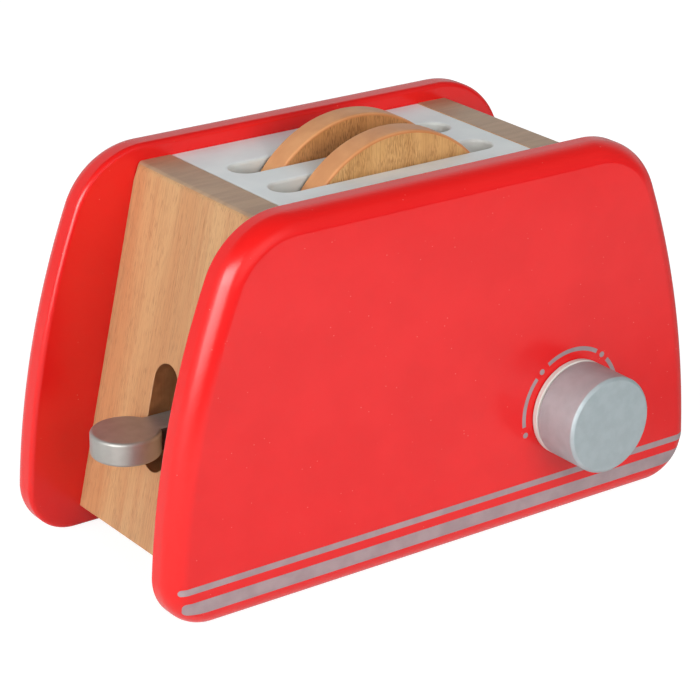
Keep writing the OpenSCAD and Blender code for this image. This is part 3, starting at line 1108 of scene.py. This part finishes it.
@dataclass
class WoodBody:
    """The beech end boards, the white slotted top plate and the base board between the panels."""

    beech: bpy.types.Material
    end_grain: bpy.types.Material
    white: bpy.types.Material
    milled_and_shaded: bpy.types.Material
    lean: float = LEAN
    board_t: float = 11.5
    board_edge_r: float = 1.8
    arris: float = 0.35
    lever_slot_w: float = 12.0
    slot_len: float = 76.8
    slot_w: float = 9.4
    slot_pitch: float = SLOT_PITCH
    slot_shift: float = 0.4
    slot_edge_r: float = 0.9
    plate_edge_r: float = 0.5
    edge_fade: float = 5.4
    milled_arris: float = 0.3
    slot_shade_to: float = 0.9
    neck_clear: float = 2.7
    travel_down: float = 5.0
    travel_up: float = 11.0

    def end_board(self, node: str, side: float) -> None:
        """Makes an end board.

        Args:
            node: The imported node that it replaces.
            side: -1 for the board with the lever's slot, 1 for the other.
        """
        low, high = box_of(node)
        half = high.y
        rise = (high.z - low.z) / math.cos(self.lean)
        foot = low.x if side < 0 else high.x
        up = Vector((-side * math.sin(self.lean), 0.0, math.cos(self.lean)))
        inwards = Vector((-side * math.cos(self.lean), 0.0, -math.sin(self.lean)))
        to_space = Matrix.Identity(4)
        for row in range(3):
            to_space[row][:] = (0.0, up[row], inwards[row], (foot, 0.0, low.z)[row])
        to_space[1][0] = 1.0
        shift = math.tan(self.lean)
        near_top = rise - self.edge_fade
        outline = [
            (-half, 0.0), (half, 0.0), (half, near_top), (half, rise),
            (-half, rise), (-half, near_top),
        ]
        soft = self.board_edge_r / self.arris
        edges = [
            Edge(
                outline,
                through(self.board_t, self.arris, self.arris, 6),
                lean=lambda point, down: (point[0], point[1] + down * shift),
                front_scales=(1.0, 1.0, 1.0, soft, soft, 1.0),
            )
        ]
        if side < 0:
            edges.append(self.lever_slot(low.z))
        board = slab(f"{node}_beech", edges, to_space)
        for face in facing(board, Vector((0.0, 0.0, 1.0)), 0.8):
            face.material_index = 1
        # The lever slot's walls, up to a share of the board's height, take the milled finish, which is
        # darkened partly as painted shade.
        if side < 0:
            for face in board.data.polygons:
                inside = abs(face.center.y) < (self.lever_slot_w / 2 + self.arris) * MM
                level = low.z + self.board_t < face.center.z / MM < high.z * self.slot_shade_to
                if inside and level and abs(face.normal.dot(inwards)) < 0.5:
                    face.material_index = 2
        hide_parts(node)
        dress(board, Body.HOUSING, Slot.BEECH, self.beech, self.end_grain, self.milled_and_shaded)

    def lever_slot(self, board_low: float) -> Edge:
        """Gives the lever's slot, milled square to the left board."""
        low, high = box_of("lever")
        start = (low.z - self.travel_down - self.neck_clear - board_low) / math.cos(self.lean)
        over = self.board_t * math.sin(self.lean)
        stop = (high.z + self.travel_up + self.neck_clear - board_low + over) / math.cos(self.lean)
        upright_slot = stadium(((start + stop) / 2, 0.0), stop - start, self.lever_slot_w, 20)
        turned = [(-b, a) for a, b in upright_slot]
        wall = through(self.board_t, self.milled_arris, self.milled_arris, 4)
        return Edge(turned, wall, hole=True)

    def plate(self, node: str, holes: Sequence[Edge], edge: float, name: str) -> bpy.types.Object:
        """Makes a flat board whose ends are bevelled against the leaning end boards.

        Args:
            node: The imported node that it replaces.
            holes: The holes through it.
            edge: Round-over of its edges.
            name: The piece's name.

        Returns:
            The piece.
        """
        low, high = box_of(node)
        thickness = high.z - low.z
        shift = math.tan(self.lean)
        reach = high.x - thickness * shift
        outline = [(-reach, low.y), (reach, low.y), (reach, high.y), (-reach, high.y)]
        edges = [
            Edge(
                outline,
                through(thickness, edge, self.arris, 6),
                lean=lambda point, down: (point[0] + math.copysign(down * shift, point[0]), point[1]),
            )
        ]
        piece = slab(name, edges + list(holes), flat(high.z))
        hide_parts(node)
        return piece

    def build(self) -> None:
        """Makes and dresses the body's boards."""
        self.end_board("left_end_board", -1.0)
        self.end_board("right_end_board", 1.0)
        low, high = box_of("top_plate")
        wall = through(high.z - low.z, self.slot_edge_r, self.arris)
        middles = [(0.0, side * self.slot_pitch / 2 + self.slot_shift) for side in (-1, 1)]
        slots = [
            Edge(stadium(middle, self.slot_len, self.slot_w, 28), wall, hole=True) for middle in middles
        ]
        top = self.plate("top_plate", slots, self.plate_edge_r, "top_plate_white")
        dress(top, Body.HOUSING, Slot.TOP, self.white)
        base = self.plate("base_board", [], self.arris, "base_board_beech")
        dress(base, Body.HOUSING, Slot.BEECH, self.beech)


# ---- lift


@dataclass
class Lift:
    """The lever with its thumb pad, the slices' tray, the screws, guide rods and return springs."""

    silver: bpy.types.Material
    neck_shade: bpy.types.Material
    beech: bpy.types.Material
    steel: bpy.types.Material
    pad_r: float = 10.1
    neck_w: float = 10.0
    beam_w: float = 18.0
    beam_from: float = -53.7
    edge_r: float = 1.0
    rod_room: float = 0.5
    rod_r: float = 3.0
    rod_pitch: float = 52.0
    middle: float = 2.4
    screw_pitch: float = 22.0
    screw_r: float = 1.6
    screw_head_r: float = 3.2
    pocket_w: float = 8.9
    pocket_len: float = 67.1
    pocket_depth: float = 4.0
    slot_pitch: float = SLOT_PITCH
    slice_y: float = 0.1
    tray_corner_r: float = 4.0
    run_gap: float = 0.08
    wire: float = 1.1
    spring_gap: float = 0.4
    turns: float = 8.5
    closed_turns: float = 1.2
    closed_pitch: float = 1.04
    turn_points: int = 28
    swell: float = 2.0
    hole_edge: float = 0.25
    tray_edge_r: float = 0.8
    pocket_edge_r: float = 0.4
    pocket_corner_r: float = 0.3

    def rods(self) -> list[Point2]:
        """Gives the places of the guide rods."""
        return [(self.middle + side * self.rod_pitch / 2, 0.0) for side in (-1, 1)]

    def lever_outline(self, pad_x: float, beam_to: float) -> list[Point2]:
        """Gives the lever's outline from above, anticlockwise from the beam's near corner."""
        neck, beam = self.neck_w / 2, self.beam_w / 2
        meet = math.degrees(math.asin(neck / self.pad_r))
        pad = arc((pad_x, 0.0), self.pad_r, meet, 360.0 - meet, 64)
        swell = self.swell
        half = [(self.beam_from - swell, -neck)]
        half += arc((self.beam_from, -beam + swell), swell, 180.0, 270.0, 6)
        half += [(beam_to - swell, -beam)]
        half += arc((beam_to - swell, -beam + swell), swell, -90.0, 0.0, 6)[1:]
        return pad + half + [(x, -y) for x, y in reversed(half)]

    def rod_holes(self, thickness: float, room: float) -> list[Edge]:
        """Gives the holes for the guide rods in a board of that thickness, with room round the rods."""
        wall = through(thickness, self.hole_edge, self.hole_edge, 3)
        return [Edge(circle(place, self.rod_r + room, 48), wall, hole=True) for place in self.rods()]

    def lever(self) -> None:
        """Makes the lever, whose neck and beam get near-black painted shade on their sides."""
        low, high = box_of("lever")
        thickness = high.z - low.z
        outline = self.lever_outline(low.x + self.pad_r, high.x)
        edges = [Edge(outline, through(thickness, self.edge_r, self.edge_r))]
        edges += self.rod_holes(thickness, self.rod_room)
        head = self.screw_head_r - self.screw_r
        sunk = [(0.0, 0.0), (0.0, thickness - head), (head, thickness)]
        for side in (-1, 1):
            place = (self.middle + side * self.screw_pitch / 2, 0.0)
            edges.append(Edge(circle(place, self.screw_r, 32), sunk, hole=True))
        lever = slab("lever_silver", edges, flat(high.z))
        # The neck's and beam's sides take a near-black finish: painted shade of the slot and the front
        # panel.
        pad_end = low.x + 2 * self.pad_r - self.swell
        for face in lever.data.polygons:
            if abs(face.normal.y) > 0.7 and face.center.x > pad_end * MM:
                face.material_index = 1
        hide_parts("lever")
        dress(lever, Body.LIFT, Slot.SILVER, self.silver, self.neck_shade)

    def tray(self) -> None:
        """Makes the tray with its two pockets."""
        low, high = box_of("lift_tray")
        thickness = high.z - low.z
        outline = soft_rectangle((low.x, low.y), (high.x, high.y), self.tray_corner_r)
        edges = [Edge(outline, through(thickness, self.tray_edge_r, self.tray_edge_r, 6))]
        for side in (-1, 1):
            y = side * self.slot_pitch / 2 + self.slice_y
            corner = (self.middle - self.pocket_len / 2, y - self.pocket_w / 2)
            far = (self.middle + self.pocket_len / 2, y + self.pocket_w / 2)
            wall = round_over(self.pocket_edge_r, 4) + [(0.0, self.pocket_depth)]
            pocket = soft_rectangle(corner, far, self.pocket_corner_r, 2)
            edges.append(Edge(pocket, wall, hole=True, blind=True))
        edges += self.rod_holes(thickness, self.run_gap)
        tray = slab("lift_tray_beech", edges, flat(high.z))
        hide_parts("lift_tray")
        dress(tray, Body.LIFT, Slot.BEECH, self.beech)

    def spring_tree(self, height: float) -> bpy.types.NodeTree:
        """Builds the node group of a spring whose end turns are closed.

        Args:
            height: The spring's height.

        Returns:
            The group.
        """
        coil_r = self.rod_r + self.spring_gap + self.wire / 2
        group = GeometryGroup(
            "return_spring",
            {"Coil Radius": coil_r, "Wire": self.wire, "Height": height, "Turns": self.turns},
        )
        radius, wire, turns = group.size("Coil Radius"), group.size("Wire"), group.size("Turns")
        spiral = group.node(
            "GeometryNodeCurveSpiral",
            None,
            {
                "Resolution": self.turn_points,
                "Rotations": turns,
                "Start Radius": radius,
                "End Radius": radius,
                "Height": 0.0,
            },
        )
        run = group.node("GeometryNodeSplineParameter")
        closed = wire * self.closed_pitch
        stacked = run * turns * closed
        free = group.size("Height") - closed * turns - wire
        ends = self.closed_turns / self.turns
        lift = stacked + run.above(ends, 1 - ends) * free
        offset = group.node("ShaderNodeCombineXYZ", None, {"Z": lift})
        path = group.node("GeometryNodeSetPosition", None, {"Geometry": spiral, "Offset": offset})
        profile = group.node(
            "GeometryNodeCurvePrimitiveCircle",
            {"mode": "RADIUS"},
            {"Resolution": 12, "Radius": wire * 0.5},
        )
        return group.finish([group.swept(path, profile)], self.steel)

    def springs(self) -> None:
        """Makes both springs, which stretch between the base board and the lever's beam."""
        for name, (x, y) in zip(("return_spring_left", "return_spring_right"), self.rods()):
            low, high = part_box(name)
            spring = grown(f"{name}_coil", self.spring_tree((high.z - low.z) / MM))
            bottom = min(vertex.co.z for vertex in spring.data.vertices)
            spring.data.transform(Matrix.Translation((x * MM, y * MM, low.z - bottom)))
            spring.data.materials.append(self.steel)
            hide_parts(name)
            ends = [(x * MM, y * MM, z) for z in (low.z, high.z)]
            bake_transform(spring)
            LOG.info("%s: %d faces", spring.name, len(spring.data.polygons))

    def build(self) -> None:
        """Makes and dresses the lift."""
        self.lever()
        self.tray()
        self.springs()


# ---- slices


@dataclass
class Slices:
    """The two bread slices: plain wooden faces and a painted crust round the rim."""

    crust: bpy.types.Material
    faces: Mapping[str, bpy.types.Material]
    crown_rise: float = 20.5
    heel_r: float = 5.0
    rim_r: float = 0.8

    def outline(self, low: Vector, high: Vector) -> list[Point2]:
        """Gives a slice's outline as (x, z) points, anticlockwise."""
        reach = (high.x - low.x) / 2 - self.rim_r
        middle = (high.x + low.x) / 2
        rim_arc = (reach**2 + self.crown_rise**2) / (2 * self.crown_rise)
        half = math.degrees(math.asin(reach / rim_arc))
        crown_r = rim_arc + self.rim_r
        side = (high.x - low.x) / 2
        heel = side - self.heel_r
        points = arc((middle + heel, low.z + self.heel_r), self.heel_r, -90.0, 0.0, 12)
        shoulder = arc(
            (middle + side - self.rim_r, high.z - self.rim_r - self.crown_rise),
            self.rim_r, 0.0, 90.0 - half, 6,
        )
        points += shoulder[:-1]
        points += arc((middle, high.z - crown_r), crown_r, 90.0 - half, 90.0 + half, 96)
        points += [(2 * middle - x, z) for x, z in reversed(shoulder[:-1])]
        points += arc((middle - heel, low.z + self.heel_r), self.heel_r, 180.0, 270.0, 12)
        return points

    def build(self) -> None:
        """Makes and dresses both slices."""
        for node, body in (("toast_front", Body.SLICE_FRONT), ("toast_back", Body.SLICE_BACK)):
            low, high = box_of(node)
            profile = through(high.y - low.y, self.rim_r, self.rim_r, 8)
            edges = [Edge(self.outline(low, high), profile)]
            slice_piece = slab(f"{node}_slice", edges, upright(low.y, 1.0))
            for direction in (-1.0, 1.0):
                for face in facing(slice_piece, Vector((0.0, direction, 0.0)), 0.999):
                    face.material_index = 1
            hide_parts(node)
            dress(slice_piece, body, Slot.BREAD, self.crust, self.faces[node])


# ---- knob


@dataclass
class Knob:
    """The turned knob and the white disc behind it."""

    silver: bpy.types.Material
    white: bpy.types.Material
    bevel: float = 0.8
    soft: float = 0.25
    axle_r: float = 4.05
    disc_edge_r: float = 0.25
    bore_edge_r: float = 0.1

    def bevelled(self, length: float) -> list[Point2]:
        """Gives the knob's wall: a bevel with softened corners at both ends."""
        inset, soft = self.bevel, self.soft
        corner = [(inset + soft, 0.0), (inset + 0.3 * soft, 0.12 * soft), (inset - 0.45 * soft, 0.5 * soft)]
        front = corner + [(a, b) for b, a in reversed(corner)]
        return front + [(i, length - d) for i, d in reversed(front)]

    def build(self) -> None:
        """Makes and dresses the knob and its disc."""
        low, high = box_of("knob")
        middle = ((low.x + high.x) / 2, (low.z + high.z) / 2)
        radius, length = (high.x - low.x) / 2, high.y - low.y
        knob = slab(
            "knob_silver",
            [Edge(circle(middle, radius, 128), self.bevelled(length))],
            upright(low.y, 1.0),
        )
        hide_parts("knob")
        dress(knob, Body.KNOB, Slot.SILVER, self.silver)
        low, high = box_of("knob_disc")
        radius, length = (high.x - low.x) / 2, high.y - low.y
        rim = through(length, self.disc_edge_r, self.disc_edge_r, 4)
        bore = through(length, self.bore_edge_r, self.bore_edge_r, 2)
        edges = [Edge(circle(middle, radius, 128), rim)]
        edges.append(Edge(circle(middle, self.axle_r, 48), bore, hole=True))
        disc = slab("knob_disc_white", edges, upright(low.y, 1.0))
        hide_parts("knob_disc")
        dress(disc, Body.KNOB, Slot.DISC, self.white)


# ---- studio


@dataclass(frozen=True)
class Softbox:
    """A rectangular softbox that looks at the toaster.

    One that gleams is only seen in mirrored light, and another only lights what is matt.
    """

    name: str
    place: Point3
    size: Point2
    watts: float
    gleams: bool = False
    aim: Point3 = (0.0, 0.0, 50.0)

    def build(self) -> None:
        """Makes the lamp."""
        data = bpy.data.lights.new(self.name, "AREA")
        data.shape = "RECTANGLE"
        data.size, data.size_y = self.size[0] * MM, self.size[1] * MM
        data.energy = self.watts
        light = bpy.data.objects.new(self.name, data)
        light.visible_camera = False
        light.visible_diffuse = not self.gleams
        light.visible_glossy = self.gleams
        bpy.context.scene.collection.objects.link(light)
        place = Vector(self.place)
        turn = (Vector(self.aim) - place).to_track_quat("-Z", "Y").to_matrix().to_4x4()
        light.matrix_world = Matrix.Translation(place * MM) @ turn


SOFTBOXES = (
    Softbox("left_gleam", (-1382.0, -615.0, 571.0), (1358.0, 918.0), 18.0, gleams=True),
    Softbox("left_gleam_high", (-1345.0, -599.0, 760.0), (1358.0, 640.0), 11.0, gleams=True),
    Softbox("left_light", (-1500.0, -130.0, 520.0), (1200.0, 700.0), 17.5),
    Softbox("front_light", (-50.0, -520.0, 280.0), (380.0, 280.0), 1.95),
    Softbox("back_light", (700.0, 900.0, 150.0), (900.0, 420.0), 5.0),
)


@dataclass
class Studio:
    """The pale floor, the soft light and the camera of the photograph."""

    eye: Point3 = (-426.46, -571.4, 341.56)
    azimuth: float = 36.4816
    elevation: float = 22.331
    roll: float = 0.6652
    lens: float = 134.087
    sensor_w: float = 36.0
    clip_start: float = 50.0
    floor_size: float = 6000.0
    floor_front: float = -330.0
    floor_grey: float = 0.86
    shown_grey: float = 0.34
    glow: float = 0.87
    mirrored_share: float = 0.28
    # A dark patch of floor at the toaster's right, seen only in mirrored rays: painted shade in the front
    # panel's reflection.
    mirrored_shade_grey: float = 0.12
    mirrored_shade_share: float = 0.6
    mirrored_shade_x: Point2 = (60.0, 140.0)
    mirrored_shade_y: Point2 = (-200.0, -90.0)
    front: float = 0.4
    front_right: float = 0.15
    left: float = 0.5
    ceiling: float = 0.11
    backdrop: float = 0.66
    front_span: Point2 = (0.75, 0.35)
    left_span: Point2 = (-0.2, -0.8)
    backdrop_span: Point2 = (0.3, 0.68)
    ceiling_span: Point2 = (0.8, 0.6)
    ground_span: Point2 = (-0.03, 0.0)

    def camera(self) -> None:
        """Makes the camera at the photograph's place, looking along its azimuth and elevation."""
        data = bpy.data.cameras.new("camera")
        data.lens = self.lens
        data.sensor_width = self.sensor_w
        data.clip_start = self.clip_start * MM
        camera = bpy.data.objects.new("camera", data)
        bpy.context.scene.collection.objects.link(camera)
        turn = Matrix.Rotation(math.radians(-self.azimuth), 4, "Z")
        tip = Matrix.Rotation(math.radians(90.0 - self.elevation), 4, "X")
        roll = Matrix.Rotation(math.radians(self.roll), 4, "Z")
        camera.matrix_world = Matrix.Translation(Vector(self.eye) * MM) @ turn @ tip @ roll
        bpy.context.scene.camera = camera

    def world(self) -> None:
        """Makes the room: a pale backdrop, dimmer walls at the front and left, and the ceiling.

        The camera sees white all round.
        """
        graph = Graph("studio", bpy.data.worlds.new("studio"))
        bpy.context.scene.world = graph.owner
        camera_ray = graph.node("ShaderNodeLightPath")
        right, back, height = graph.axes()
        view = math.radians(self.azimuth)
        ahead = right * math.sin(view) + back * math.cos(view)
        front = right.above(*self.front_span) * (self.front - self.front_right) + self.front_right
        walls = front + right.above(*self.left_span) * (self.left - front)
        around = walls + ahead.above(*self.backdrop_span) * (self.backdrop - walls)
        low = height.above(*self.ceiling_span) * height.above(*self.ground_span)
        level = camera_ray + (1.0 - camera_ray) * (low * (around - self.ceiling) + self.ceiling)
        light = graph.node("ShaderNodeBackground", None, {0: (1.0, 1.0, 1.0, 1.0), 1: level})
        graph.end(light, "ShaderNodeOutputWorld")

    def floor(self) -> None:
        """Makes the white floor, which keeps a soft shadow, with a dark patch at the toaster's right that
        only mirrored rays see: painted shade in the front panel's reflection.
        """
        half = self.floor_size / 2 * MM
        mesh = bpy.data.meshes.new("floor")
        front = self.floor_front * MM
        corners = [(-half, front, 0.0), (half, front, 0.0), (half, half, 0.0), (-half, half, 0.0)]
        mesh.from_pydata(corners, [], [(0, 1, 2, 3)])
        floor = bpy.data.objects.new("floor", mesh)
        bpy.context.scene.collection.objects.link(floor)
        graph = Graph("floor_white")
        seen, mirrored = (graph.node("ShaderNodeLightPath", output=ray) for ray in (0, 3))
        matt, dim, dark = (
            graph.node("ShaderNodeBsdfDiffuse", None, {"Color": (grey, grey, grey, 1.0)})
            for grey in (self.floor_grey, self.shown_grey, self.mirrored_shade_grey)
        )
        glow = graph.node("ShaderNodeEmission", None, {"Strength": self.glow})
        white = graph.node("ShaderNodeAddShader", None, {0: dim, 1: glow})
        plain = graph.blend(seen + mirrored * self.mirrored_share, matt, white)
        # Painted shade: the patch beside the toaster darkens only what mirrors the floor.
        right, back, _ = graph.axes()
        mirrored_shade = right.above(*(x * MM for x in self.mirrored_shade_x)) * back.above(*(y * MM for y in self.mirrored_shade_y))
        floor_shader = graph.blend(mirrored_shade * mirrored * self.mirrored_shade_share, plain, dark)
        graph.end(floor_shader, "ShaderNodeOutputMaterial")
        mesh.materials.append(graph.owner)

    def build(self) -> None:
        """Makes the whole studio."""
        bpy.context.scene.view_settings.view_transform = "Standard"
        self.camera()
        self.world()
        self.floor()
        for softbox in SOFTBOXES:
            softbox.build()


def dress_hidden(beech: bpy.types.Material, steel: bpy.types.Material) -> None:
    """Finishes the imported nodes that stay: dowels, rods, axle, retainer and screws."""
    for node in (
        "front_dowels", "back_dowels", "guide_rod_left", "guide_rod_right", "knob_axle", "knob_retainer",
    ):
        repaint(node, beech)
    repaint("lever_screws", steel)


def main() -> None:
    logging.basicConfig(level=logging.INFO, format="%(message)s")
    red = RedPaint().build()
    beech = Beech(lean=LEAN).build()
    plain_beech = Beech(name="beech_inner").build()
    silver = SilverPaint().build()
    lever_silver = SilverPaint(
        "lever_silver_paint",
        srgb(174, 172, 167),
        srgb(163, 160, 155),
        pit_share=0.0,
        metallic=0.6,
        roughness=0.38,
    ).build()
    steel = SpringSteel().build()
    shape = PanelShape()
    SidePanels(shape, red).build()
    PanelPrint(shape, SilverPrint().build()).build()
    milled_and_shaded = MilledAndShadedBeech().build()
    # A near-black copy of the milled finish: painted shade for the lever neck's sides.
    neck_painted_shade = MilledAndShadedBeech("lever_neck_painted_shade", srgb(66, 42, 28), srgb(44, 26, 17)).build()
    WoodBody(beech, EndGrain().build(), WhitePaint().build(), milled_and_shaded).build()
    Lift(lever_silver, neck_painted_shade, plain_beech, steel).build()
    flecks = {"fleck_share": 0.62, "fleck_len": 2.2, "fleck_from": 0.47}
    front_colours = srgb(210, 166, 108), srgb(198, 152, 94), srgb(140, 94, 50)
    # The back slice's colours are darker: painted shade from the front slice.
    back_shaded_colours = srgb(200, 142, 88), srgb(186, 128, 76), srgb(124, 76, 38)
    faces = {
        "toast_front": Beech("slice_wood_front", *front_colours, fleck_w=0.26, **flecks).build(),
        "toast_back": Beech("slice_wood_back_shaded", *back_shaded_colours, fleck_w=0.3, **flecks).build(),
    }
    Slices(Crust().build(), faces).build()
    Knob(silver, WhitePaint("disc_paint", srgb(240, 240, 234), srgb(231, 230, 222)).build()).build()
    dress_hidden(plain_beech, steel)
    Studio().build()


if __name__ == "__main__":
    main()
